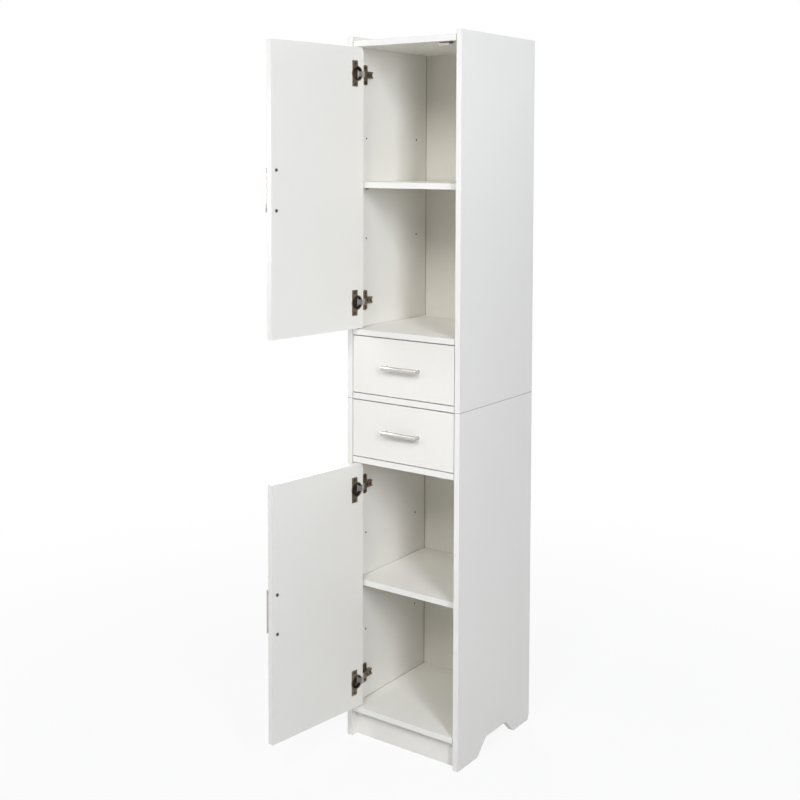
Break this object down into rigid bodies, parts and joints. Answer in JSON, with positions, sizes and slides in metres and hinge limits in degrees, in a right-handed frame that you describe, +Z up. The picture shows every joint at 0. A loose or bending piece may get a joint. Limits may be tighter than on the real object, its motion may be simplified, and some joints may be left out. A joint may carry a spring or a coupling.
{
  "type": "tall bathroom cabinet",
  "caption": "Tall narrow white bathroom cabinet in stacked units, with open inset doors over shelf compartments and inset drawers between them.",
  "frame": {"origin": "on the floor, mid-width, under the middle of the plinth board", "axes": "+X to the right seen from the front, +Y to the back, +Z up; the doors and drawer fronts face -Y when closed"},
  "size_m": [0.3757, 0.6386, 1.8],
  "materials": {
    "melamine_white": "white melamine facing on particle board, satin",
    "hardboard_white": "white lacquered hardboard, matt",
    "hinge_steel": "dark nickel plated pressed steel",
    "screw_steel": "dark plated steel",
    "pin_steel": "nickel plated steel",
    "handle_metal": "satin nickel plated",
    "zinc_casting": "die-cast zinc",
    "beech_dowel": "fluted beech",
    "moulded_plastic": "off-white moulded plastic"
  },
  "bodies": {
    "cabinet": {"cam_fittings": "zinc_casting", "carcass_dowels": "beech_dowel", "catch_screws": "screw_steel", "hinge_adjusting_screws": "screw_steel", "hinge_plate_screws": "screw_steel", "lower_back_board": "hardboard_white", "lower_divider_panel": "melamine_white", "lower_door_catch": "moulded_plastic", "lower_drawer_runners": "moulded_plastic", "lower_floor_panel": "melamine_white", "lower_hinge_arms": "hinge_steel", "lower_hinge_plates": "hinge_steel", "lower_left_side": "melamine_white", "lower_right_side": "melamine_white", "lower_shelf": "melamine_white", "lower_shelf_pins": "pin_steel", "plinth_board": "melamine_white", "rear_rail": "melamine_white", "runner_screws": "screw_steel", "top_panel": "melamine_white", "unit_dowels": "beech_dowel", "upper_back_board": "hardboard_white", "upper_bottom_panel": "melamine_white", "upper_door_catch": "moulded_plastic", "upper_drawer_runners": "moulded_plastic", "upper_floor_panel": "melamine_white", "upper_hinge_arms": "hinge_steel", "upper_hinge_plates": "hinge_steel", "upper_left_side": "melamine_white", "upper_right_side": "melamine_white", "upper_shelf": "melamine_white", "upper_shelf_pins": "pin_steel"},
    "upper_door": {"upper_door_handle": "handle_metal", "upper_door_handle_screws": "screw_steel", "upper_door_panel": "melamine_white", "upper_hinge_cup_screws": "screw_steel", "upper_hinge_cups": "hinge_steel", "upper_hinge_pins": "hinge_steel"},
    "lower_door": {"lower_door_handle": "handle_metal", "lower_door_handle_screws": "screw_steel", "lower_door_panel": "melamine_white", "lower_hinge_cup_screws": "screw_steel", "lower_hinge_cups": "hinge_steel", "lower_hinge_pins": "hinge_steel"},
    "upper_drawer": {"upper_drawer_back": "melamine_white", "upper_drawer_bottom": "hardboard_white", "upper_drawer_dowels": "beech_dowel", "upper_drawer_front": "melamine_white", "upper_drawer_handle": "handle_metal", "upper_drawer_handle_screws": "screw_steel", "upper_drawer_left_side": "melamine_white", "upper_drawer_right_side": "melamine_white"},
    "lower_drawer": {"lower_drawer_back": "melamine_white", "lower_drawer_bottom": "hardboard_white", "lower_drawer_dowels": "beech_dowel", "lower_drawer_front": "melamine_white", "lower_drawer_handle": "handle_metal", "lower_drawer_handle_screws": "screw_steel", "lower_drawer_left_side": "melamine_white", "lower_drawer_right_side": "melamine_white"}
  },
  "joints": [
    {"name": "upper_door_swing", "type": "hinge", "parent": "cabinet", "child": "upper_door", "pos_m": [-0.143, -0.0205, 1.418], "axis": [0, 0, 1], "range_deg": [0, 97.5]},
    {"name": "lower_door_swing", "type": "hinge", "parent": "cabinet", "child": "lower_door", "pos_m": [-0.143, -0.0205, 0.4], "axis": [0, 0, 1], "range_deg": [0, 97.5]},
    {"name": "upper_drawer_slide", "type": "slide", "parent": "cabinet", "child": "upper_drawer", "axis": [0, -1, 0], "range_m": [0, 0.22]},
    {"name": "lower_drawer_slide", "type": "slide", "parent": "cabinet", "child": "lower_drawer", "axis": [0, -1, 0], "range_m": [0, 0.22]}
  ]
}
